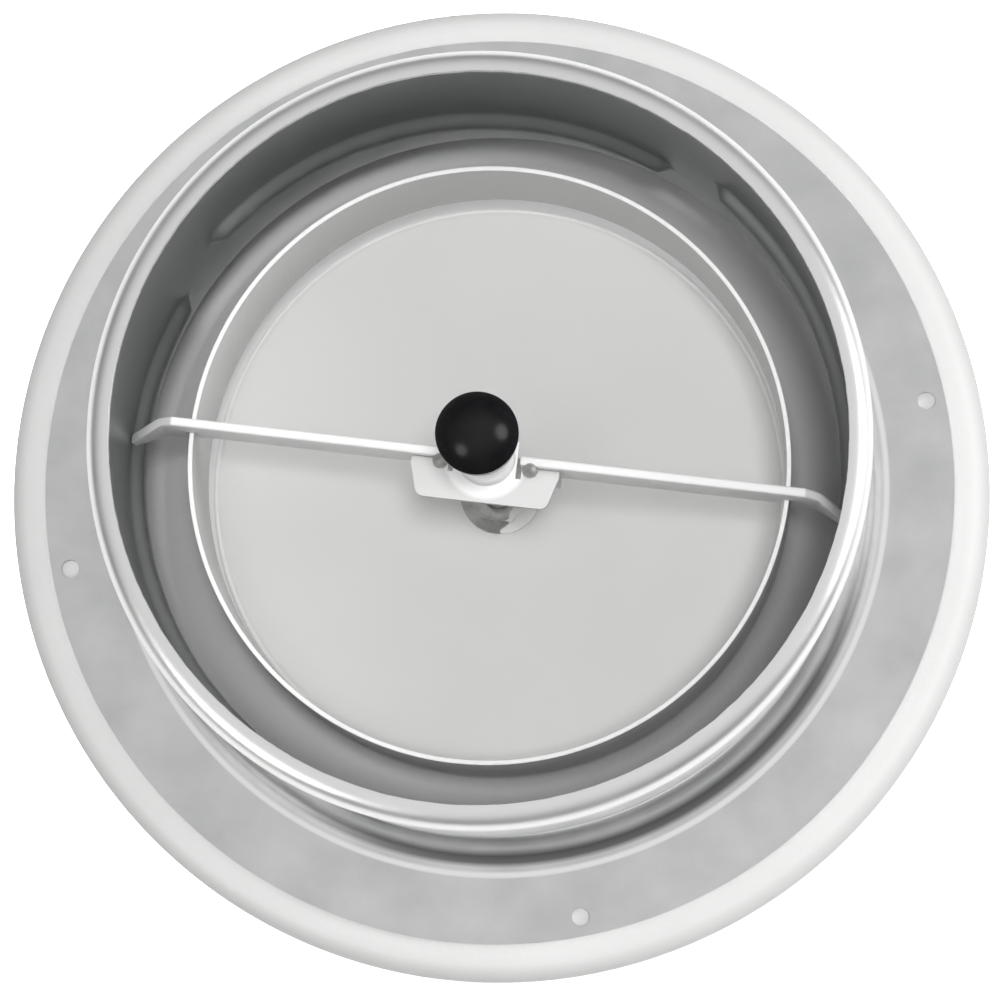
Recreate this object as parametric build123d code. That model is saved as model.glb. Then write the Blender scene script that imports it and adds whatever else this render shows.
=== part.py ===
from build123d import *
import os
from math import asin, degrees, radians, sin

os.makedirs("parts", exist_ok=True)

# Ventilation disc valve for a 100 mm duct, lying on its face.
# Millimetres. +Z runs into the duct; z = 0 is the rear, wall side plane of the screw flange.

# Running and assembly clearances
THREAD_GAP = 0.05
HEM_GAP = 0.3
LUG_WALL_GAP = 0.3
LUG_RAMP_GAP = 0.3
SLOT_GAP = 0.1
TONGUE_GAP = 0.4
CAP_END_GAP = 0.1

# Mounting frame, one galvanised pressing
FRAME_SHEET = 0.8
SPIGOT_R = 49.0
SPIGOT_H = 50.0
FLANGE_W = 14.2
ROOT_BEND = 5.0
LIP_W = 3.1
LIP_BEND = 2.6
HOLE_MARGIN = 2.6
HOLE_R = 1.25
HOLE_COUNT = 4
HOLE_START_ANGLE = 11.2

# Bayonet ramps, pressed inward from the spigot wall
RAMP_COUNT = 4
RAMP_START_ANGLE = 63.0
RAMP_SPAN_ANGLE = 75.0
RAMP_LOW_Z = 12.8
RAMP_RISE = 8.2
RAMP_HEIGHT = 1.5
RAMP_TUBE_R = 2.2
RAMP_END_FLAT = 0.1

# Valve ring, one powder coated pressing
RING_SHEET = 0.6
FACE_DEPTH = 12.0
FACE_LAP = 5.3
THROAT_INSET = 9.75
THROAT_Z = 23.1
BELL_FLARE = 0.75
BELL_DEPTH = 0.5
BELL_BEND = 10.0
CREST_IN_W = 9.75
CREST_IN_BEND = 6.0
CREST_OUT_W = 8.5
CREST_OUT_BEND = 10.0
EDGE_H = 5.4
EDGE_BEND = 2.0
HEM_BEND = 3.6
HEM_LAP = 4.5

# Foam seal
SEAL_W = 3.5
SEAL_INSET = 3.0

# Crossbar arms, strip on edge
BAR_SHEET = 1.2
BAR_ANGLE = -6.56
BAR_ABOVE_THROAT = 5.4
BAR_INTO_THROAT = 3.6
ARM_START = 4.5
ARM_TIP_DROP = 8.0
ARM_TIP_W = 6.2
ARM_BEND_W = 4.3
ARM_BEND_REACH = 5.0
ARM_BEND_DROP = 2.3
ARM_BEND_R = 2.0

# Nut bracket, folded strip with a drawn boss
BRACKET_SHEET = 1.2
BRACKET_DROP = 0.5
BRACKET_FRONT = 6.0
BRACKET_BACK_W = 19.4
BRACKET_FRONT_W = 17.0
BRACKET_CORNER = 1.2
BRACKET_BEND = 1.8
LEG_LENGTH = 10.0
RELIEF_W = 9.6
BOSS_R = 3.85
BOSS_H = 2.5
WELD_R = 1.05
WELD_INSET = 3.8

# Disc
DISC_SHEET = 0.8
DISC_FACE_GAP = 0.4
DISC_FLAT_R = 12.0
DISC_BOWL_BEND = 30.0
DISC_CREST_OUT = 0.15
DISC_CREST_H = 6.4
DISC_CREST_BEND = 1.2
DISC_LIP_OUT = 0.4
DISC_LIP_H = 4.2

# M5 spindle, its flange nut and its end cap
SPINDLE_R = 2.5
SPINDLE_END_DEPTH = 2.0
SPINDLE_CHAMFER = 0.5
NUT_FLANGE_R = 5.7
NUT_FLANGE_H = 1.2
NUT_AF = 8.0
NUT_H = 5.0
NUT_CONE_H = 0.6
CAP_GRIP = 4.5
CAP_LOW_R = 4.6
CAP_R = 5.2
CAP_SHOULDER_H = 5.5
CAP_DOME_R = 6.0
CAP_EDGE_ROUND = 1.5
CAP_H = 9.0

# Radii and heights that follow from them
spigot_in_r = SPIGOT_R - FRAME_SHEET
lip_edge_r = SPIGOT_R - LIP_W
flange_r = SPIGOT_R + FLANGE_W
hole_circle_r = flange_r - HOLE_MARGIN
throat_r = SPIGOT_R - THROAT_INSET
bell_r = throat_r + BELL_FLARE
face_r = flange_r + FACE_LAP
crest_in_r = throat_r + CREST_IN_W
crest_out_r = face_r - CREST_OUT_W
hem_edge_r = flange_r - HEM_LAP
hem_z = -FRAME_SHEET - HEM_GAP
edge_z = hem_z - EDGE_H
bar_top_z = THROAT_Z + BAR_ABOVE_THROAT
bracket_top_z = bar_top_z - BRACKET_DROP
disc_rear_z = -FACE_DEPTH + DISC_FACE_GAP + DISC_SHEET
spindle_top_z = SPIGOT_H - SPINDLE_END_DEPTH
bore_r = SPINDLE_R + THREAD_GAP


def sheet_of_revolution(points, bends, thickness, side):
    face_line = FilletPolyline(*points, radius=bends)
    section = make_face(offset(face_line, amount=thickness, side=side))
    return revolve(Plane.XZ * section, Axis.Z)


def solid_of_revolution(outline):
    return revolve(Plane.XZ * make_face(outline), Axis.Z)


def save(node, shape):
    shape.label = node
    export_step(shape, "parts/" + node + ".step")


def along_bar(shape):
    return Rot(0, 0, BAR_ANGLE) * shape


# Mounting frame. The ramps are arcs tipped so that they climb into the duct as they go round.
ramp_mid_r = spigot_in_r - RAMP_HEIGHT + RAMP_TUBE_R
ramp_half = RAMP_SPAN_ANGLE / 2
ramp_tilt = degrees(asin(RAMP_RISE / 2 / (ramp_mid_r * sin(radians(ramp_half)))))


def ramp(tube_r, number):
    span = RAMP_SPAN_ANGLE + 2 * degrees(tube_r / ramp_mid_r)
    tube = revolve(Plane.XZ * Pos(ramp_mid_r, 0) * Circle(tube_r), Axis.Z, span)
    end_circles = tube.edges().filter_by(lambda edge: edge.radius < ramp_mid_r / 2)
    tube = Rot(0, 0, -span / 2) * fillet(end_circles, tube_r - RAMP_END_FLAT)
    middle = RAMP_START_ANGLE + ramp_half + number * 360 / RAMP_COUNT
    mid_z = RAMP_LOW_Z + RAMP_RISE / 2
    return Pos(0, 0, mid_z) * Rot(0, 0, middle) * Rot(ramp_tilt, 0, 0) * tube


frame_points = [
    (flange_r, 0),
    (SPIGOT_R, 0),
    (SPIGOT_R, SPIGOT_H),
    (lip_edge_r, SPIGOT_H),
]
frame = sheet_of_revolution(frame_points, [ROOT_BEND, LIP_BEND], FRAME_SHEET, Side.LEFT)
wall_middle = Cylinder(SPIGOT_R - FRAME_SHEET / 2, 2 * SPIGOT_H)
for number in range(RAMP_COUNT):
    frame += ramp(RAMP_TUBE_R, number) & wall_middle
for number in range(RAMP_COUNT):
    frame -= ramp(RAMP_TUBE_R - FRAME_SHEET, number)
hole_places = PolarLocations(hole_circle_r, HOLE_COUNT, start_angle=HOLE_START_ANGLE)
frame -= hole_places * Cylinder(HOLE_R, 4 * FRAME_SHEET)
save("mounting_frame", frame)

# Valve ring
ring_points = [
    (throat_r, THROAT_Z),
    (bell_r, -BELL_DEPTH),
    (crest_in_r, -FACE_DEPTH),
    (crest_out_r, -FACE_DEPTH),
    (face_r, edge_z),
    (face_r, hem_z),
    (hem_edge_r, hem_z),
]
ring_bends = [BELL_BEND, CREST_IN_BEND, CREST_OUT_BEND, EDGE_BEND, HEM_BEND]
save("valve_ring", sheet_of_revolution(ring_points, ring_bends, RING_SHEET, Side.LEFT))

# Foam seal, from the inside of the ring's face to the front of the flange
seal_low = -FACE_DEPTH + RING_SHEET
seal_high = -FRAME_SHEET
seal_mid_r = crest_out_r - SEAL_INSET - SEAL_W / 2
seal_section = Pos(seal_mid_r, (seal_low + seal_high) / 2) * Rectangle(
    SEAL_W, seal_high - seal_low
)
save("foam_seal", revolve(Plane.XZ * seal_section, Axis.Z))

# Crossbar arms. Each is slotted over the throat's edge, and its outer lug stands on a ramp.
lug_r = spigot_in_r - LUG_WALL_GAP
throat_taper = BELL_FLARE / (THROAT_Z + BELL_DEPTH)
ramp_flank = (RAMP_TUBE_R**2 - (ramp_mid_r - spigot_in_r) ** 2) ** 0.5
lug_turn = (BAR_ANGLE - RAMP_START_ANGLE) % (360 / RAMP_COUNT)
lug_z = RAMP_LOW_Z + RAMP_RISE * lug_turn / RAMP_SPAN_ANGLE + ramp_flank + LUG_RAMP_GAP
slot_in = throat_r - SLOT_GAP
slot_top = THROAT_Z + RING_SHEET * throat_taper
slot_out = throat_r + RING_SHEET + throat_taper * (THROAT_Z - lug_z) + SLOT_GAP
bend_start = lug_r - ARM_BEND_W
tip_top_z = bar_top_z - ARM_TIP_DROP


def arm(side):
    plan_line = FilletPolyline(
        (side * ARM_START, 0),
        (side * bend_start, 0),
        (side * (bend_start + ARM_BEND_REACH), -ARM_BEND_DROP),
        radius=ARM_BEND_R,
    )
    plan = extrude(trace(plan_line, BAR_SHEET), bar_top_z)
    height_outline = Polyline(
        (side * ARM_START, THROAT_Z - BAR_INTO_THROAT),
        (side * slot_in, THROAT_Z - BAR_INTO_THROAT),
        (side * slot_in, slot_top),
        (side * slot_out, slot_top),
        (side * slot_out, lug_z),
        (side * face_r, lug_z),
        (side * face_r, tip_top_z),
        (side * lug_r, tip_top_z),
        (side * (lug_r - ARM_TIP_W), bar_top_z),
        (side * ARM_START, bar_top_z),
        close=True,
    )
    heights = extrude(Plane.XZ * make_face(height_outline), face_r / 2, both=True)
    return along_bar(plan & heights & Cylinder(lug_r, 4 * SPIGOT_H))


save("crossbar_arm_left", arm(-1))
save("crossbar_arm_right", arm(1))

# Nut bracket. Its leg lies on the arms' face and its tongue reaches through the gap between them.
bar_face = -BAR_SHEET / 2
bracket_line = FilletPolyline(
    (-BRACKET_FRONT, bracket_top_z),
    (bar_face, bracket_top_z),
    (bar_face, bracket_top_z - LEG_LENGTH),
    radius=BRACKET_BEND,
)
bracket_section = make_face(offset(bracket_line, amount=BRACKET_SHEET, side=Side.RIGHT))
bracket = extrude(Plane.YZ * bracket_section, BRACKET_BACK_W / 2, both=True)
bracket_plan = Polyline(
    (-BRACKET_BACK_W / 2, 0),
    (-BRACKET_BACK_W / 2, -BRACKET_BEND),
    (-BRACKET_FRONT_W / 2, -BRACKET_FRONT),
    (BRACKET_FRONT_W / 2, -BRACKET_FRONT),
    (BRACKET_BACK_W / 2, -BRACKET_BEND),
    (BRACKET_BACK_W / 2, 0),
    close=True,
)
bracket_outline = make_face(bracket_plan)
front_corners = bracket_outline.vertices().sort_by(Axis.Y)[:2]
bracket_outline = fillet(front_corners, BRACKET_CORNER)
bracket &= extrude(bracket_outline, bracket_top_z + BRACKET_SHEET)

plate_low = bracket_top_z - BRACKET_SHEET
tongue_r = ARM_START - TONGUE_GAP
bend_foot = bar_face - BRACKET_BEND
relief_deep = LEG_LENGTH + BRACKET_SHEET
relief_y = bend_foot / 2
bracket -= Pos(0, relief_y, bracket_top_z - relief_deep / 2) * Box(
    RELIEF_W, -bend_foot, relief_deep + BRACKET_SHEET
)
tongue = Rectangle(2 * tongue_r, -2 * bend_foot) + Circle(tongue_r)
bracket += Pos(0, 0, plate_low) * extrude(tongue, BRACKET_SHEET)
bracket += Pos(0, 0, bracket_top_z + BOSS_H / 2) * Cylinder(BOSS_R, BOSS_H)
boss_rim = bracket.edges().filter_by(GeomType.CIRCLE).sort_by(Axis.Z)[-1]
bracket = fillet(boss_rim, BRACKET_SHEET / 2)
bracket -= Pos(0, 0, bracket_top_z) * Cylinder(bore_r, 4 * BOSS_H)
save("nut_bracket", along_bar(bracket))

# Tack welds, in the groove between the bracket's bend and the arms' face
bead_room = along_bar(bracket) + arm(-1) + arm(1)
weld_at = BRACKET_BACK_W / 2 - WELD_INSET
for node, side in (("tack_weld_left", -1), ("tack_weld_right", 1)):
    bead = Pos(side * weld_at, bar_face - WELD_R / 2, bracket_top_z) * Sphere(WELD_R)
    save(node, along_bar(bead) - bead_room)

# Disc
disc_points = [
    (0, disc_rear_z),
    (DISC_FLAT_R, disc_rear_z),
    (bell_r + DISC_CREST_OUT, disc_rear_z + DISC_CREST_H),
    (bell_r + DISC_LIP_OUT, disc_rear_z + DISC_LIP_H),
]
disc_bends = [DISC_BOWL_BEND, DISC_CREST_BEND]
save("disc", sheet_of_revolution(disc_points, disc_bends, DISC_SHEET, Side.RIGHT))

# Spindle, welded to the middle of the disc
spindle = Pos(0, 0, (disc_rear_z + spindle_top_z) / 2) * Cylinder(
    SPINDLE_R, spindle_top_z - disc_rear_z
)
spindle_end = spindle.edges().filter_by(GeomType.CIRCLE).sort_by(Axis.Z)[-1]
save("spindle", chamfer(spindle_end, SPINDLE_CHAMFER))

# Flange nut, tightened down on the disc
nut_cone_top = NUT_FLANGE_H + NUT_CONE_H
nut_hexagon = extrude(RegularPolygon(NUT_AF / 2, 6, major_radius=False), NUT_H)
nut_foot = solid_of_revolution(
    Polyline(
        (0, 0),
        (NUT_FLANGE_R, 0),
        (NUT_FLANGE_R, NUT_FLANGE_H),
        (NUT_AF / 2, nut_cone_top),
        (0, nut_cone_top),
        close=True,
    )
)
nut_crown = solid_of_revolution(
    Polyline(
        (0, 0),
        (NUT_FLANGE_R, 0),
        (NUT_FLANGE_R, NUT_H - NUT_CONE_H * 2),
        (NUT_AF / 2, NUT_H),
        (0, NUT_H),
        close=True,
    )
)
nut = (nut_hexagon & nut_crown) + nut_foot
nut -= Cylinder(SPINDLE_R, 4 * NUT_H)
save("flange_nut", Pos(0, 0, disc_rear_z) * Rot(0, 0, BAR_ANGLE) * nut)

# End cap, pushed over the spindle's end. Its foot meets the boss when the disc is fully out.
cap_low_z = spindle_top_z - CAP_GRIP
cap_top_z = cap_low_z + CAP_H
cap_edge_z = cap_top_z - CAP_DOME_R + (CAP_DOME_R**2 - CAP_R**2) ** 0.5
cap_ceiling_z = spindle_top_z + CAP_END_GAP
cap_side = Polyline(
    (0, cap_top_z),
    (0, cap_ceiling_z),
    (bore_r, cap_ceiling_z),
    (bore_r, cap_low_z),
    (CAP_LOW_R, cap_low_z),
    (CAP_R, cap_low_z + CAP_SHOULDER_H),
    (CAP_R, cap_edge_z),
)
cap_section = make_face(cap_side + RadiusArc((CAP_R, cap_edge_z), (0, cap_top_z), -CAP_DOME_R))
cap_edge = cap_section.vertices().sort_by(Axis.Y)[-2]
save("end_cap", revolve(Plane.XZ * fillet(cap_edge, CAP_EDGE_ROUND), Axis.Z))
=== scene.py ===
import math

import bmesh
import bpy
from mathutils import Matrix, Vector, noise


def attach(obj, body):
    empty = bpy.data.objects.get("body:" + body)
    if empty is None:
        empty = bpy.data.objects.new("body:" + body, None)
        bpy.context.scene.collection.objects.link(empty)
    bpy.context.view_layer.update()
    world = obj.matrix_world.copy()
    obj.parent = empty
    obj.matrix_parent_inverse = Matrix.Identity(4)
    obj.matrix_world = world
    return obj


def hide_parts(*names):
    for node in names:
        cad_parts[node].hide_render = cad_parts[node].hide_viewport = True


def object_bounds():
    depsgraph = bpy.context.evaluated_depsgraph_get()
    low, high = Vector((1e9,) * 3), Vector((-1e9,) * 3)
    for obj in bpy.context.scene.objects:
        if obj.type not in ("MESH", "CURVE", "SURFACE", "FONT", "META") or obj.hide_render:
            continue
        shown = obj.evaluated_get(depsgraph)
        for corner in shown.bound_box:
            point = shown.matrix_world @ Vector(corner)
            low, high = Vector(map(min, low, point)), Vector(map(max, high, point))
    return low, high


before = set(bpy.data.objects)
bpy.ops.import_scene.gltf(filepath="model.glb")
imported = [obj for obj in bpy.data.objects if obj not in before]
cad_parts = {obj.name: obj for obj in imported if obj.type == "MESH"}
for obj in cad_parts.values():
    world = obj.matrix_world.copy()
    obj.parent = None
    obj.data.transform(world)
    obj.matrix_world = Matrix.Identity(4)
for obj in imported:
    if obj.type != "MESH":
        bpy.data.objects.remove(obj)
cadLow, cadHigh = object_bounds()
print("frame loaded", len(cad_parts), "nodes")

mm = 0.001
weldReach = 1e-6  # points closer than this are one point
ringReach = 2e-6  # how near a point is to the ring it belongs to
barTurn = math.radians(-6.56)  # the crossbar's direction, from +X


# Working helpers

def pick(obj):
    if bpy.context.object and bpy.context.object.mode != "OBJECT":
        bpy.ops.object.mode_set(mode="OBJECT")
    bpy.ops.object.select_all(action="DESELECT")
    if obj:
        obj.select_set(True)
        bpy.context.view_layer.objects.active = obj


def settle(obj):
    # place, turn and size go into the mesh, so the object sits at the origin
    pick(obj)
    bpy.ops.object.transform_apply(location=True, rotation=True, scale=True)


def takeModifier(obj, kind, **values):
    pick(obj)
    modifier = obj.modifiers.new(kind.lower(), kind)
    for key, value in values.items():
        setattr(modifier, key, value)
    bpy.ops.object.modifier_apply(modifier=modifier.name)


def smooth(obj, angle=32):
    pick(obj)
    bpy.ops.object.shade_smooth_by_angle(angle=math.radians(angle))


def named(obj, name):
    obj.name = name
    obj.data.name = name
    return obj


def selectRing(obj, r, z):
    # the edges round the axis at one radius and height
    mesh = bmesh.from_edit_mesh(obj.data)
    for face in mesh.faces:
        face.select = False
    for edge in mesh.edges:
        edge.select = all(
            abs(math.hypot(v.co.x, v.co.y) - r * mm) < ringReach
            and abs(v.co.z - z * mm) < ringReach
            for v in edge.verts
        )
    bmesh.update_edit_mesh(obj.data)


def tangentReach(before, corner, after):
    inward = Vector(before[:2]) - Vector(corner[:2])
    onward = Vector(after[:2]) - Vector(corner[:2])
    turn = math.pi - inward.angle(onward)
    return corner[2] * math.tan(turn / 2)


def turnRings(name, rings, around, bendSteps=7, closeStart=False, closeEnd=False):
    # a circle extruded ring by ring; a ring is (radius, height, bend radius) in mm
    pick(None)
    bpy.ops.mesh.primitive_circle_add(
        vertices=around, radius=rings[0][0] * mm, location=(0, 0, rings[0][1] * mm)
    )
    obj = named(bpy.context.object, name)
    settle(obj)
    bpy.ops.object.mode_set(mode="EDIT")
    bpy.ops.mesh.select_mode(type="EDGE")
    bpy.ops.mesh.select_all(action="SELECT")
    if closeStart:
        bpy.ops.mesh.edge_face_add()
    r, z = rings[0][0], rings[0][1]
    for ring in rings[1:]:
        bpy.ops.mesh.extrude_edges_move(
            TRANSFORM_OT_translate={"value": (0, 0, (ring[1] - z) * mm)}
        )
        if abs(ring[0] - r) > 1e-6:
            bpy.ops.transform.resize(
                value=(ring[0] / r, ring[0] / r, 1), center_override=(0, 0, ring[1] * mm)
            )
        r, z = ring[0], ring[1]
    if closeEnd:
        bpy.ops.mesh.edge_face_add()
    for before, corner, after in zip(rings, rings[1:], rings[2:]):
        if corner[2]:
            selectRing(obj, corner[0], corner[1])
            bpy.ops.mesh.bevel(
                offset_type="OFFSET", offset=tangentReach(before, corner, after) * mm,
                segments=bendSteps, profile=0.5, affect="EDGES",
            )
    bpy.ops.object.mode_set(mode="OBJECT")
    return obj


def faceOutwards(obj):
    # for closed shapes
    pick(obj)
    bpy.ops.object.mode_set(mode="EDIT")
    bpy.ops.mesh.select_all(action="SELECT")
    bpy.ops.mesh.remove_doubles(threshold=weldReach)
    bpy.ops.mesh.normals_make_consistent(inside=False)
    bpy.ops.object.mode_set(mode="OBJECT")


def turnToward(obj, place, direction):
    # turns an open sheet so that its face nearest to a place looks in a direction
    spot = Vector(place) * mm
    near = min(obj.data.polygons, key=lambda face: (face.center - spot).length)
    if near.normal.dot(Vector(direction)) < 0:
        pick(obj)
        bpy.ops.object.mode_set(mode="EDIT")
        bpy.ops.mesh.select_all(action="SELECT")
        bpy.ops.mesh.flip_normals()
        bpy.ops.object.mode_set(mode="OBJECT")


def giveThickness(obj, thickness):
    takeModifier(
        obj, "SOLIDIFY", thickness=thickness * mm, offset=-1, use_even_offset=True,
        use_quality_normals=True,
    )


def breakEdges(obj, width, steps=2, angle=50):
    takeModifier(
        obj, "BEVEL", width=width * mm, segments=steps, limit_method="ANGLE",
        angle_limit=math.radians(angle), harden_normals=False,
    )


def turnAlongBar(obj):
    obj.rotation_euler = (0, 0, barTurn)
    settle(obj)


def finishPiece(obj, body, nodes, material, angle=32):
    smooth(obj, angle)
    obj.data.materials.clear()
    obj.data.materials.append(material)
    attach(obj, body)
    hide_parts(*nodes)


# Shader groups shared by several finishes

def newGroup(name, inputs, outputs):
    group = bpy.data.node_groups.new(name, "ShaderNodeTree")
    for label, kind, value in inputs:
        socket = group.interface.new_socket(label, in_out="INPUT", socket_type=kind)
        socket.default_value = value
    for label, kind in outputs:
        group.interface.new_socket(label, in_out="OUTPUT", socket_type=kind)
    entry = group.nodes.new("NodeGroupInput")
    leave = group.nodes.new("NodeGroupOutput")
    return group, entry, leave


def link(tree, start, end):
    tree.links.new(start, end)


def makeGrainGroup():
    # fine grain as a height, and a slow cloud over the surface
    group, entry, leave = newGroup(
        "grain",
        [("Fine Scale", "NodeSocketFloat", 2500.0), ("Cloud Scale", "NodeSocketFloat", 60.0)],
        [("Height", "NodeSocketFloat"), ("Cloud", "NodeSocketFloat")],
    )
    place = group.nodes.new("ShaderNodeTexCoord")
    fine = group.nodes.new("ShaderNodeTexNoise")
    fine.inputs["Detail"].default_value = 3.0
    cloud = group.nodes.new("ShaderNodeTexNoise")
    cloud.inputs["Detail"].default_value = 4.0
    link(group, place.outputs["Object"], fine.inputs["Vector"])
    link(group, place.outputs["Object"], cloud.inputs["Vector"])
    link(group, entry.outputs["Fine Scale"], fine.inputs["Scale"])
    link(group, entry.outputs["Cloud Scale"], cloud.inputs["Scale"])
    link(group, fine.outputs["Fac"], leave.inputs["Height"])
    link(group, cloud.outputs["Fac"], leave.inputs["Cloud"])
    return group


def makeSpeckGroup():
    # sparse small specks, as dust and dark pits
    group, entry, leave = newGroup(
        "specks",
        [("Scale", "NodeSocketFloat", 300.0), ("Size", "NodeSocketFloat", 0.12)],
        [("Mask", "NodeSocketFloat")],
    )
    place = group.nodes.new("ShaderNodeTexCoord")
    cells = group.nodes.new("ShaderNodeTexVoronoi")
    chance = group.nodes.new("ShaderNodeSeparateColor")
    keep = group.nodes.new("ShaderNodeMath")
    keep.operation = "GREATER_THAN"
    keep.inputs[1].default_value = 0.93
    near = group.nodes.new("ShaderNodeMath")
    near.operation = "LESS_THAN"
    both = group.nodes.new("ShaderNodeMath")
    both.operation = "MULTIPLY"
    link(group, place.outputs["Object"], cells.inputs["Vector"])
    link(group, entry.outputs["Scale"], cells.inputs["Scale"])
    link(group, cells.outputs["Color"], chance.inputs["Color"])
    link(group, chance.outputs["Red"], keep.inputs[0])
    link(group, cells.outputs["Distance"], near.inputs[0])
    link(group, entry.outputs["Size"], near.inputs[1])
    link(group, keep.outputs[0], both.inputs[0])
    link(group, near.outputs[0], both.inputs[1])
    link(group, both.outputs[0], leave.inputs["Mask"])
    return group


grainGroup = makeGrainGroup()
speckGroup = makeSpeckGroup()


def newFinish(name):
    material = bpy.data.materials.new(name)
    material.use_nodes = True
    tree = material.node_tree
    shader = tree.nodes["Principled BSDF"]
    return material, tree, shader


def addGrain(tree, fine, cloud):
    node = tree.nodes.new("ShaderNodeGroup")
    node.node_tree = grainGroup
    node.inputs["Fine Scale"].default_value = fine
    node.inputs["Cloud Scale"].default_value = cloud
    return node


def addSpecks(tree, scale, size):
    node = tree.nodes.new("ShaderNodeGroup")
    node.node_tree = speckGroup
    node.inputs["Scale"].default_value = scale
    node.inputs["Size"].default_value = size
    return node


def addRange(tree, source, low, high, fromLow=0.3, fromHigh=0.7):
    node = tree.nodes.new("ShaderNodeMapRange")
    node.inputs["From Min"].default_value = fromLow
    node.inputs["From Max"].default_value = fromHigh
    node.inputs["To Min"].default_value = low
    node.inputs["To Max"].default_value = high
    link(tree, source, node.inputs["Value"])
    return node.outputs["Result"]


def addMix(tree, factor, first, second):
    node = tree.nodes.new("ShaderNodeMix")
    node.data_type = "RGBA"
    link(tree, factor, node.inputs["Factor"])
    for socket, value in ((node.inputs["A"], first), (node.inputs["B"], second)):
        if isinstance(value, tuple):
            socket.default_value = (*value, 1.0)
        else:
            link(tree, value, socket)
    return node.outputs["Result"]


def addBump(tree, height, shader, strength, depth):
    bump = tree.nodes.new("ShaderNodeBump")
    bump.inputs["Strength"].default_value = strength
    bump.inputs["Distance"].default_value = depth * mm
    link(tree, height, bump.inputs["Height"])
    link(tree, bump.outputs["Normal"], shader.inputs["Normal"])


def addAwayFromAxis(tree, low, high):
    # 0 inside the first radius, 1 outside the second, in mm
    place = tree.nodes.new("ShaderNodeTexCoord")
    flat = tree.nodes.new("ShaderNodeVectorMath")
    flat.operation = "MULTIPLY"
    flat.inputs[1].default_value = (1.0, 1.0, 0.0)
    away = tree.nodes.new("ShaderNodeVectorMath")
    away.operation = "LENGTH"
    link(tree, place.outputs["Object"], flat.inputs[0])
    link(tree, flat.outputs["Vector"], away.inputs[0])
    return addRange(tree, away.outputs["Value"], 0.0, 1.0, low * mm, high * mm)


def addAbove(tree, low, high):
    # 0 below the first height, 1 above the second, in mm
    place = tree.nodes.new("ShaderNodeTexCoord")
    parts = tree.nodes.new("ShaderNodeSeparateXYZ")
    link(tree, place.outputs["Object"], parts.inputs["Vector"])
    return addRange(tree, parts.outputs["Z"], 0.0, 1.0, low * mm, high * mm)


def addProduct(tree, first, second):
    node = tree.nodes.new("ShaderNodeMath")
    node.operation = "MULTIPLY"
    link(tree, first, node.inputs[0])
    link(tree, second, node.inputs[1])
    return node.outputs[0]


def addBand(tree, measure, inner, outer):
    # 1 between two places, fading to 0 on both sides
    # inner is (none, full) and outer is (full, none)
    rise = measure(tree, *inner)
    fall = measure(tree, *outer)
    node = tree.nodes.new("ShaderNodeMath")
    node.operation = "SUBTRACT"
    node.use_clamp = True
    link(tree, rise, node.inputs[0])
    link(tree, fall, node.inputs[1])
    return node.outputs[0]


def addBandAwayFromAxis(tree, inner, outer):
    return addBand(tree, addAwayFromAxis, inner, outer)


# Finishes. Colours are light and dark of one tone, scales are per metre, and places are in mm

zincFinish = {
    "light": (0.74, 0.745, 0.74), "dark": (0.62, 0.63, 0.625), "pit": (0.50, 0.50, 0.49),
    # the bore's darker grey is painted shade on the inner wall
    # the dark grey and the near white grey for the root bend are painted shade and a painted
    # highlight
    "paintedShade": (0.20, 0.20, 0.20), "paintedHighlight": (0.97, 0.97, 0.97), "bore": (0.48, 0.495, 0.49),
    # the lip's lighter grey is painted light on its top
    "lipPaintedLight": (0.86, 0.86, 0.855),
    "fine": 900.0, "cloud": 110.0, "pitScale": 330.0, "pitSize": 0.08,
    "frontOfFlange": (-0.3, -0.1), "paintedShadeFrom": (50.7, 51.3), "paintedShadeTo": (52.2, 52.9),
    "paintedHighlightFrom": (53.3, 53.7), "paintedHighlightTo": (54.1, 54.4),
    "boreWall": (48.6, 48.3), "boreEnd": (48.5, 47.5), "lipPaintedLightFrom": (46.5, 48.8),
    "metallic": 0.85, "glossy": 0.30, "dull": 0.38, "bump": 0.25, "bumpDepth": 0.05,
}


def makeZincSheet(values):
    material, tree, shader = newFinish("galvanisedSheet")
    grain = addGrain(tree, values["fine"], values["cloud"])
    cloud = addRange(tree, grain.outputs["Cloud"], 0.0, 1.0)
    tone = addMix(tree, cloud, values["dark"], values["light"])
    pits = addSpecks(tree, values["pitScale"], values["pitSize"])
    colour = addMix(tree, pits.outputs["Mask"], tone, values["pit"])
    # outside the wall: painted shade as a dark band in the start of the root bend, and a painted
    # highlight as a bright line where it ends
    for tint in ("paintedShade", "paintedHighlight"):
        band = addBandAwayFromAxis(tree, values[tint + "From"], values[tint + "To"])
        place = addProduct(tree, addAbove(tree, *values["frontOfFlange"]), band)
        colour = addMix(tree, place, colour, values[tint])
    # the bore is painted darker than the outside: painted shade on the inner wall
    bore = addProduct(
        tree, addAwayFromAxis(tree, *values["boreWall"]), addAbove(tree, *values["boreEnd"])
    )
    colour = addMix(tree, bore, colour, values["bore"])
    # the rolled lip is painted lighter: painted light on its top
    colour = addMix(tree, addAbove(tree, *values["lipPaintedLightFrom"]), colour, values["lipPaintedLight"])
    link(tree, colour, shader.inputs["Base Color"])
    shader.inputs["Metallic"].default_value = values["metallic"]
    roughness = addRange(tree, grain.outputs["Cloud"], values["glossy"], values["dull"])
    link(tree, roughness, shader.inputs["Roughness"])
    addBump(tree, grain.outputs["Height"], shader, values["bump"], values["bumpDepth"])
    return material
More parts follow.
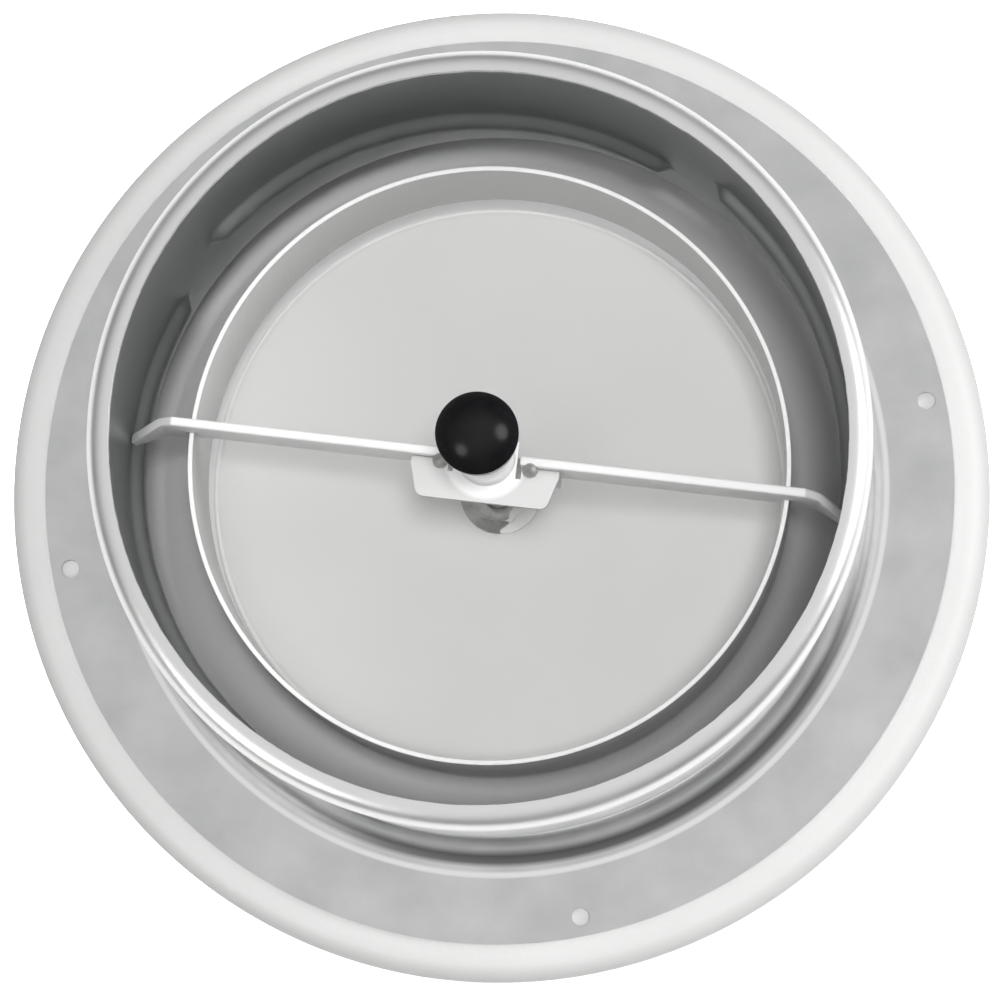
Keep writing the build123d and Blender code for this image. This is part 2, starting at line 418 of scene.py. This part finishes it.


# a coat's places are painted light and shade, where its tone changes: a mask, its two limits, and
# the grey painted there
ringCoat = {
    "light": 0.76, "dark": 0.71, "fine": 1500.0, "bump": 0.6, "roughness": 0.5,
    "paintedLightAndShade": [
        # painted shade: darker inside the throat and on the outer roll
        (addAwayFromAxis, 40.4, 40.1, 0.64), (addAwayFromAxis, 66.2, 68.2, 0.60),
        # painted highlight on the throat's rim, and painted light over the bell and the face's
        # inner edge where shade falls in the gap
        (addAbove, 22.75, 22.95, 0.97), (addBandAwayFromAxis, (40.2, 40.8), (51.0, 53.0), 0.97),
    ],
}
discCoat = {
    "light": 0.71, "dark": 0.68, "fine": 1000.0, "bump": 0.12, "roughness": 0.42,
    # painted highlight: the turned edge in near white
    "paintedLightAndShade": [(addAwayFromAxis, 39.5, 39.75, 0.97)],
}
# painted light: the same white coat as the ring and bracket, given a whiter grey for the light the
# bar catches
barCoatWithPaintedLight = {
    "light": 0.97, "dark": 0.94, "fine": 1500.0, "bump": 0.2, "roughness": 0.4, "paintedLightAndShade": [],
}
bracketCoat = {
    "light": 0.75, "dark": 0.70, "fine": 1200.0, "bump": 0.3, "roughness": 0.4,
    # painted light: the boss round the spindle in near white
    "paintedLightAndShade": [(addAwayFromAxis, 5.8, 5.2, 0.97)],
}
allCoats = {"cloud": 30.0, "warmth": 0.005, "specular": 0.4, "uneven": 0.06, "bumpDepth": 0.08}


def warmGrey(grey):
    return (grey, grey, grey - allCoats["warmth"])


def makePowderCoat(name, values):
    material, tree, shader = newFinish(name)
    grain = addGrain(tree, values["fine"], allCoats["cloud"])
    cloud = addRange(tree, grain.outputs["Cloud"], 0.0, 1.0)
    tone = addMix(tree, cloud, warmGrey(values["dark"]), warmGrey(values["light"]))
    # painted light and shade laid over the coat's tone
    for measure, none, full, grey in values["paintedLightAndShade"]:
        tone = addMix(tree, measure(tree, none, full), tone, warmGrey(grey))
    link(tree, tone, shader.inputs["Base Color"])
    shader.inputs["Specular IOR Level"].default_value = allCoats["specular"]
    roughness = addRange(
        tree, grain.outputs["Height"], values["roughness"] - allCoats["uneven"],
        values["roughness"] + allCoats["uneven"],
    )
    link(tree, roughness, shader.inputs["Roughness"])
    addBump(tree, grain.outputs["Height"], shader, values["bump"], allCoats["bumpDepth"])
    return material


platingFinish = {
    "light": (0.60, 0.60, 0.58), "dark": (0.42, 0.42, 0.40), "overspray": (0.82, 0.82, 0.81),
    "fine": 1800.0, "cloud": 700.0, "sprayToward": (0.84, -0.55, 0.0), "sprayRagged": 3.0,
    "sprayFrom": 4.6, "sprayFull": 4.8, "metallic": 0.95, "glossy": 0.3, "dull": 0.45,
    "bump": 0.2, "bumpDepth": 0.03,
}


def makePlating(values):
    # zinc plating, with a ragged patch of the white coat on one side
    material, tree, shader = newFinish("zincPlating")
    grain = addGrain(tree, values["fine"], values["cloud"])
    place = tree.nodes.new("ShaderNodeTexCoord")
    across = tree.nodes.new("ShaderNodeVectorMath")
    across.operation = "DOT_PRODUCT"
    across.inputs[1].default_value = values["sprayToward"]
    link(tree, place.outputs["Object"], across.inputs[0])
    ragged = tree.nodes.new("ShaderNodeMath")
    ragged.operation = "MULTIPLY_ADD"
    ragged.inputs[1].default_value = values["sprayRagged"] * mm
    link(tree, grain.outputs["Cloud"], ragged.inputs[0])
    link(tree, across.outputs["Value"], ragged.inputs[2])
    spray = addRange(
        tree, ragged.outputs[0], 0.0, 1.0, values["sprayFrom"] * mm, values["sprayFull"] * mm
    )
    cloud = addRange(tree, grain.outputs["Cloud"], 0.0, 1.0)
    metal = addMix(tree, cloud, values["dark"], values["light"])
    link(tree, addMix(tree, spray, metal, values["overspray"]), shader.inputs["Base Color"])
    metallic = addRange(tree, spray, values["metallic"], 0.0, 0.0, 1.0)
    link(tree, metallic, shader.inputs["Metallic"])
    roughness = addRange(tree, grain.outputs["Height"], values["glossy"], values["dull"])
    link(tree, roughness, shader.inputs["Roughness"])
    addBump(tree, grain.outputs["Height"], shader, values["bump"], values["bumpDepth"])
    return material


# finishes with one tone and one grain; toneBy and roughBy say which output of the grain moves them
weldFinish = {
    "light": (0.62, 0.62, 0.61), "dark": (0.30, 0.30, 0.29), "toneBy": "Cloud",
    "fine": 2200.0, "cloud": 700.0, "glossy": 0.45, "dull": 0.7, "roughBy": "Height",
    "bump": 0.5, "bumpDepth": 0.1, "set": {"Metallic": 0.6},
}
plasticFinish = {
    "light": (0.012, 0.012, 0.013), "dark": (0.006, 0.006, 0.007), "toneBy": "Cloud",
    "fine": 3000.0, "cloud": 200.0, "glossy": 0.2, "dull": 0.28, "roughBy": "Cloud",
    "bump": 0.05, "bumpDepth": 0.01, "set": {"Specular IOR Level": 0.2},
}
foamFinish = {
    "light": (0.14, 0.14, 0.15), "dark": (0.04, 0.04, 0.045), "toneBy": "Height",
    "fine": 1400.0, "cloud": 90.0, "glossy": 0.85, "dull": 0.95, "roughBy": "Cloud",
    "bump": 0.8, "bumpDepth": 0.3, "set": {},
}


def makePlainFinish(name, values):
    material, tree, shader = newFinish(name)
    grain = addGrain(tree, values["fine"], values["cloud"])
    spread = addRange(tree, grain.outputs[values["toneBy"]], 0.0, 1.0)
    tone = addMix(tree, spread, values["dark"], values["light"])
    link(tree, tone, shader.inputs["Base Color"])
    for socket, value in values["set"].items():
        shader.inputs[socket].default_value = value
    roughness = addRange(tree, grain.outputs[values["roughBy"]], values["glossy"], values["dull"])
    link(tree, roughness, shader.inputs["Roughness"])
    addBump(tree, grain.outputs["Height"], shader, values["bump"], values["bumpDepth"])
    return material


zincSheet = makeZincSheet(zincFinish)
ringPaint = makePowderCoat("ringCoat", ringCoat)
discPaint = makePowderCoat("discCoat", discCoat)
barPaintWithPaintedLight = makePowderCoat("barCoatWithPaintedLight", barCoatWithPaintedLight)
bracketPaint = makePowderCoat("bracketCoat", bracketCoat)
plating = makePlating(platingFinish)
weldMetal = makePlainFinish("weldMetal", weldFinish)
blackPlastic = makePlainFinish("blackPlastic", plasticFinish)
greyFoam = makePlainFinish("greyFoam", foamFinish)
print("finishes ready")


# Mounting frame: the flange, root bend, wall and rolled lip as one sheet

mountingFrame = {
    "sheet": 0.8, "flangeR": 63.2, "wallR": 49.0, "height": 50.0, "rootBend": 5.0, "lipBend": 2.6,
    "lipEdgeR": 45.9, "around": 384,
    "rampStart": 63.0, "rampSpan": 75.0, "rampLow": 12.8, "rampRise": 8.2, "rampDepth": 1.5,
    "rampHalf": 3.1, "rampFlat": 1.25, "bandLow": 9.0, "bandHigh": 25.0, "bandSteps": 44,
    "holeR": 1.25, "holeCircle": 60.6, "holeStart": 11.2, "holeAround": 40, "cutterDepth": 4,
    "ragged": 0.05, "raggedSlow": 0.5, "raggedQuick": 3.0, "edgeBreak": 0.08,
}


def rampDepthAt(values, angle, z):
    # depth pressed in at a place on the wall, from the distance to the nearest ramp's line
    wall = values["wallR"]
    deepest = 0.0
    for number in range(4):
        start = math.radians(values["rampStart"] + 90 * number)
        length = math.radians(values["rampSpan"]) * wall
        across = ((angle - start + math.pi / 4) % (2 * math.pi) - math.pi / 4) * wall
        line = Vector((length, values["rampRise"]))
        spot = Vector((across, z - values["rampLow"]))
        share = min(1.0, max(0.0, spot.dot(line) / line.length_squared))
        away = (spot - line * share).length
        if away < values["rampHalf"]:
            depth = 0.5 + 0.5 * math.cos(math.pi * away / values["rampHalf"])
            deepest = max(deepest, values["rampDepth"] * min(1.0, values["rampFlat"] * depth))
    return deepest


def makeMountingFrame(values):
    rings = [(values["flangeR"], 0, 0), (values["wallR"], 0, values["rootBend"])]
    for step in range(values["bandSteps"] + 1):
        share = step / values["bandSteps"]
        z = values["bandLow"] + share * (values["bandHigh"] - values["bandLow"])
        rings.append((values["wallR"], round(z, 4), 0))
    rings.append((values["wallR"], values["height"], values["lipBend"]))
    rings.append((values["lipEdgeR"], values["height"], 0))
    obj = turnRings("mounting_frame_skin", rings, values["around"])
    turnToward(obj, (values["wallR"], 0, 30), (1, 0, 0))
    for vertex in obj.data.vertices:
        place = vertex.co / mm
        r = math.hypot(place.x, place.y)
        angle = math.atan2(place.y, place.x)
        if values["bandLow"] < place.z < values["bandHigh"]:
            r -= rampDepthAt(values, angle, place.z)
        if r < values["lipEdgeR"] + 0.05 and place.z > 40:
            # the cut edge of the lip is a little uneven
            slow, quick = values["raggedSlow"], values["raggedQuick"]
            rough = noise.noise(Vector((place.x * slow, place.y * slow, 3.0)))
            fine = noise.noise(Vector((place.x * quick, place.y * quick, 7.0)))
            r += values["ragged"] * (rough + fine)
        vertex.co = Vector((r * math.cos(angle), r * math.sin(angle), place.z)) * mm
    giveThickness(obj, values["sheet"])
    for number in range(4):
        angle = math.radians(values["holeStart"] + 90 * number)
        middle = Vector((math.cos(angle), math.sin(angle), 0)) * values["holeCircle"] * mm
        pick(None)
        bpy.ops.mesh.primitive_cylinder_add(
            vertices=values["holeAround"], radius=values["holeR"] * mm,
            depth=values["cutterDepth"] * mm, location=middle,
        )
        cutter = bpy.context.object
        takeModifier(obj, "BOOLEAN", operation="DIFFERENCE", object=cutter, solver="EXACT")
        bpy.data.objects.remove(cutter)
    breakEdges(obj, values["edgeBreak"], 1, 60)
    finishPiece(obj, "frame", ["mounting_frame"], zincSheet)
    return obj


makeMountingFrame(mountingFrame)
print("mounting frame ready")


# Valve ring: throat, bell, face and rolled edge as one sheet

valveRing = {
    "sheet": 0.6, "around": 384, "bendSteps": 9, "edgeBreak": 0.12,
    "rings": [
        (39.25, 23.1, 0), (40.0, -0.5, 10.0), (49.0, -12.0, 6.0), (60.0, -12.0, 10.0),
        (68.5, -6.5, 2.0), (68.5, -1.1, 3.6), (58.7, -1.1, 0),
    ],
}


def makeValveRing(values):
    obj = turnRings("valve_ring_skin", values["rings"], values["around"], values["bendSteps"])
    turnToward(obj, (39.6, 0, 12), (-1, 0, 0))
    giveThickness(obj, values["sheet"])
    breakEdges(obj, values["edgeBreak"], 2, 60)
    finishPiece(obj, "valve", ["valve_ring"], ringPaint)
    return obj


makeValveRing(valveRing)
print("valve ring ready")


# Foam seal between the ring and the flange

foamSeal = {
    "inR": 53.5, "outR": 57.0, "low": -11.1, "high": -0.8, "around": 192, "edgeRound": 0.3,
}


def makeFoamSeal(values):
    rings = [
        (values["inR"], values["low"], 0), (values["outR"], values["low"], 0),
        (values["outR"], values["high"], 0), (values["inR"], values["high"], 0),
        (values["inR"], values["low"], 0),
    ]
    obj = turnRings("foam_seal_skin", rings, values["around"])
    faceOutwards(obj)
    breakEdges(obj, values["edgeRound"], 3)
    finishPiece(obj, "seal", ["foam_seal"], greyFoam)
    return obj


makeFoamSeal(foamSeal)
print("foam seal ready")


# Disc with its turned edge

discDish = {
    "sheet": 0.8, "around": 320, "bendSteps": 8, "edgeBreak": 0.15,
    "rings": [(40.4, -6.6, 0), (40.15, -4.4, 1.2), (12.0, -10.8, 30.0), (0.3, -10.8, 0)],
}


def makeDisc(values):
    obj = turnRings(
        "disc_skin", values["rings"], values["around"], values["bendSteps"], closeEnd=True
    )
    turnToward(obj, (25, 0, -8), (0, 0, 1))
    giveThickness(obj, values["sheet"])
    breakEdges(obj, values["edgeBreak"], 2, 60)
    finishPiece(obj, "disc", ["disc"], discPaint)
    return obj


makeDisc(discDish)
print("disc ready")


# Crossbar arms and nut bracket: the CAD sheet with its cut edges rounded by the coat

def copyOfNode(node, name):
    # a node's triangles, merged and cleared back to whole faces
    pick(None)
    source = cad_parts[node]
    obj = bpy.data.objects.new(name, source.data.copy())
    bpy.context.scene.collection.objects.link(obj)
    obj.data.name = name
    pick(obj)
    bpy.ops.object.mode_set(mode="EDIT")
    bpy.ops.mesh.select_all(action="SELECT")
    bpy.ops.mesh.remove_doubles(threshold=weldReach)
    bpy.ops.mesh.dissolve_limited(angle_limit=math.radians(1.0))
    bpy.ops.object.mode_set(mode="OBJECT")
    return obj


barPieces = {
    "edgeRound": 0.3, "smoothAngle": 30,
    "arms": ("crossbar_arm_left", "crossbar_arm_right"), "bracket": "nut_bracket",
}


def makeBarPieces(values):
    for node in (*values["arms"], values["bracket"]):
        obj = copyOfNode(node, node + "_skin")
        breakEdges(obj, values["edgeRound"], 3, 40)
        paint = bracketPaint if node == values["bracket"] else barPaintWithPaintedLight
        finishPiece(obj, "valve", [node], paint, values["smoothAngle"])


makeBarPieces(barPieces)
print("crossbar and bracket ready")


# Tack welds: lumpy beads in the groove between bracket and arms

tackWelds = {"r": 1.05, "at": 5.9, "out": -1.125, "z": 28.0, "lump": 0.16, "lumpsPerMm": 1.3}


def makeTackWelds(values):
    for node, side in (("tack_weld_left", -1), ("tack_weld_right", 1)):
        pick(None)
        bpy.ops.mesh.primitive_ico_sphere_add(
            subdivisions=4, radius=values["r"] * mm,
            location=(side * values["at"] * mm, values["out"] * mm, values["z"] * mm),
        )
        obj = named(bpy.context.object, node + "_skin")
        settle(obj)
        middle = Vector((side * values["at"], values["out"], values["z"])) * mm
        seed = Vector((side * 5.0, 0, 0))
        for vertex in obj.data.vertices:
            away = (vertex.co - middle) / mm
            lump = noise.noise(away * values["lumpsPerMm"] + seed)
            vertex.co = middle + away * mm * (1 - abs(lump) * values["lump"])
        turnAlongBar(obj)
        finishPiece(obj, "valve", [node], weldMetal)


makeTackWelds(tackWelds)
print("tack welds ready")


# Spindle with its thread

spindle = {
    "r": 2.5, "low": -10.8, "high": 48.0, "pitch": 0.8, "depth": 0.46, "around": 32, "rise": 0.1,
    "chamferW": 0.45, "chamferH": 0.3, "skin": 0.1, "notchFull": 1.35, "notchSlope": 2.7,
}


def makeSpindle(values):
    length = values["high"] - values["low"] - 2 * values["chamferH"]
    count = int(round(length / values["rise"]))
    rings = [(values["r"] - values["chamferW"], values["low"], 0)]
    for step in range(count + 1):
        z = values["low"] + values["chamferH"] + step * length / count
        rings.append((values["r"], z, 0))
    rings.append((values["r"] - values["chamferW"], values["high"], 0))
    obj = turnRings(
        "spindle_skin", rings, values["around"], closeStart=True, closeEnd=True
    )
    for vertex in obj.data.vertices:
        place = vertex.co / mm
        r = math.hypot(place.x, place.y)
        if r > values["r"] - values["skin"]:
            angle = math.atan2(place.y, place.x)
            turn = (place.z / values["pitch"] - angle / (2 * math.pi)) % 1.0
            slope = values["notchFull"] - values["notchSlope"] * abs(turn - 0.5)
            notch = min(1.0, max(0.0, slope))
            vertex.co.x *= (r - values["depth"] * notch) / r
            vertex.co.y *= (r - values["depth"] * notch) / r
    faceOutwards(obj)
    finishPiece(obj, "disc", ["spindle"], plating, 40)


makeSpindle(spindle)
print("spindle ready")


# Flange nut on the disc

flangeNut = {"edgeRound": 0.12, "smoothAngle": 30}


def makeFlangeNut(values):
    obj = copyOfNode("flange_nut", "flange_nut_skin")
    breakEdges(obj, values["edgeRound"], 2, 40)
    finishPiece(
        obj, "disc", ["flange_nut"], plating, values["smoothAngle"]
    )


makeFlangeNut(flangeNut)
print("flange nut ready")


# End cap: a glossy dome pushed over the spindle

endCap = {
    "around": 96, "bore": 2.55, "ceiling": 48.1, "low": 43.5, "lowR": 4.6, "r": 5.2,
    "shoulder": 49.0, "domeR": 6.0, "top": 52.5, "domeSteps": 9, "topTurn": 0.03,
    "innerR": 0.2, "mouthBend": 0.12, "footBend": 0.25, "edgeRound": 0.9, "roundAngle": 25,
}


def makeEndCap(values):
    centre = values["top"] - values["domeR"]
    edgeTurn = math.asin(values["r"] / values["domeR"])
    rings = [
        (values["innerR"], values["ceiling"], 0), (values["bore"], values["ceiling"], 0),
        (values["bore"], values["low"], values["mouthBend"]),
        (values["lowR"], values["low"], values["footBend"]), (values["r"], values["shoulder"], 0),
    ]
    edgeZ = centre + values["domeR"] * math.cos(edgeTurn)
    rings.append((values["r"], edgeZ, 0))
    for step in range(1, values["domeSteps"] + 1):
        share = step / values["domeSteps"]
        turn = edgeTurn * (1 - share) + values["topTurn"] * share
        ringZ = centre + values["domeR"] * math.cos(turn)
        rings.append((values["domeR"] * math.sin(turn), ringZ, 0))
    obj = turnRings(
        "end_cap_skin", rings, values["around"], 3, closeStart=True, closeEnd=True
    )
    faceOutwards(obj)
    breakEdges(obj, values["edgeRound"], 6, values["roundAngle"])
    finishPiece(obj, "cap", ["end_cap"], blackPlastic, 50)


makeEndCap(endCap)
print("end cap ready")


# Floor, light and camera

studio = {
    "floorSize": 3.0, "floorColour": (0.88, 0.88, 0.88), "floorRoughness": 0.9,
    "floorGlow": 1.0, "glowFrom": 68.6, "glowFull": 69.5, "underGlow": 0.16,
    "keySize": 0.11, "keyPlace": (-0.06, -0.05, 0.56), "keyPower": 0.34,
    "highSize": 0.18, "highPlace": (0.095, -0.07, 1.2), "highPower": 6.3,
    "rightSize": 0.6, "rightPlace": (0.93, 0.1, 0.55), "rightPower": 4.5,
    "leftSize": 0.5, "leftPlace": (-0.65, -0.65, 0.65), "leftPower": 2.6,
    "skyHigh": 0.66, "skyLow": 0.13, "skyFrom": 0.3, "skyFull": 0.92,
}


def aimAt(obj, target):
    ray = Vector(target) - obj.location
    obj.rotation_euler = ray.to_track_quat("-Z", "Y").to_euler()


def addAreaLight(name, place, size, power, shiny):
    data = bpy.data.lights.new(name, "AREA")
    data.shape = "DISK"
    data.size = size
    data.energy = power
    obj = bpy.data.objects.new(name, data)
    bpy.context.scene.collection.objects.link(obj)
    obj.location = place
    obj.visible_glossy = shiny
    aimAt(obj, (0, 0, 0))
    return obj


def makeStudio(values):
    pick(None)
    bpy.ops.mesh.primitive_plane_add(size=values["floorSize"], location=(0, 0, cadLow[2]))
    floor = named(bpy.context.object, "floor")
    settle(floor)
    material, tree, shader = newFinish("floorPaper")
    shader.inputs["Base Color"].default_value = (*values["floorColour"], 1.0)
    shader.inputs["Roughness"].default_value = values["floorRoughness"]
    # the paper shows white beyond the rim, and sends a little light up under the valve
    shader.inputs["Emission Color"].default_value = (1.0, 1.0, 1.0, 1.0)
    path = tree.nodes.new("ShaderNodeLightPath")
    shown = tree.nodes.new("ShaderNodeMath")
    shown.operation = "MULTIPLY"
    link(tree, addAwayFromAxis(tree, values["glowFrom"], values["glowFull"]), shown.inputs[0])
    link(tree, path.outputs["Is Camera Ray"], shown.inputs[1])
    glow = addRange(tree, shown.outputs[0], values["underGlow"], values["floorGlow"], 0.0, 1.0)
    link(tree, glow, shader.inputs["Emission Strength"])
    floor.data.materials.append(material)
    for lamp, shiny in (("key", False), ("high", False), ("right", True), ("left", True)):
        light = addAreaLight(
            lamp + "Light", values[lamp + "Place"], values[lamp + "Size"],
            values[lamp + "Power"], shiny,
        )
        light.visible_diffuse = lamp != "left"
    world = bpy.data.worlds.new("studio")
    world.use_nodes = True
    # bright overhead, darker toward the horizon
    tree = world.node_tree
    sky = tree.nodes["Background"]
    sky.inputs["Color"].default_value = (1.0, 1.0, 1.0, 1.0)
    ray = tree.nodes.new("ShaderNodeTexCoord")
    parts = tree.nodes.new("ShaderNodeSeparateXYZ")
    link(tree, ray.outputs["Generated"], parts.inputs["Vector"])
    strength = addRange(
        tree, parts.outputs["Z"], values["skyLow"], values["skyHigh"], values["skyFrom"],
        values["skyFull"],
    )
    link(tree, strength, sky.inputs["Strength"])
    bpy.context.scene.world = world
    bpy.context.scene.view_settings.view_transform = "Standard"


# where the photograph was taken from, in the object's frame
photoView = {
    "tiltX": -0.1266, "tiltY": 0.0497, "shiftX": -0.0063, "shiftY": -0.0227, "distance": 6.5929,
    "unit": 68.5, "focal": 3252.58, "width": 1000, "sensor": 36.0,
}


def makeCamera(values):
    tiltX, tiltY = values["tiltX"], values["tiltY"]
    turnX = Matrix.Rotation(tiltX, 3, "X")
    turnY = Matrix.Rotation(tiltY, 3, "Y")
    flip = Matrix(((1, 0, 0), (0, -1, 0), (0, 0, -1)))
    view = turnY @ turnX @ flip
    offset = Vector((values["shiftX"], values["shiftY"], values["distance"])) * values["unit"] * mm
    place = -(view.transposed() @ offset)
    data = bpy.data.cameras.new("photoCamera")
    data.sensor_width = values["sensor"]
    data.lens = values["focal"] / values["width"] * values["sensor"]
    camera = bpy.data.objects.new("photoCamera", data)
    bpy.context.scene.collection.objects.link(camera)
    right, up, back = Vector(view[0]), -Vector(view[1]), -Vector(view[2])
    camera.matrix_world = Matrix((
        (right.x, up.x, back.x, place.x),
        (right.y, up.y, back.y, place.y),
        (right.z, up.z, back.z, place.z),
        (0, 0, 0, 1),
    ))
    bpy.context.scene.camera = camera


makeStudio(studio)
makeCamera(photoView)
print("studio ready")
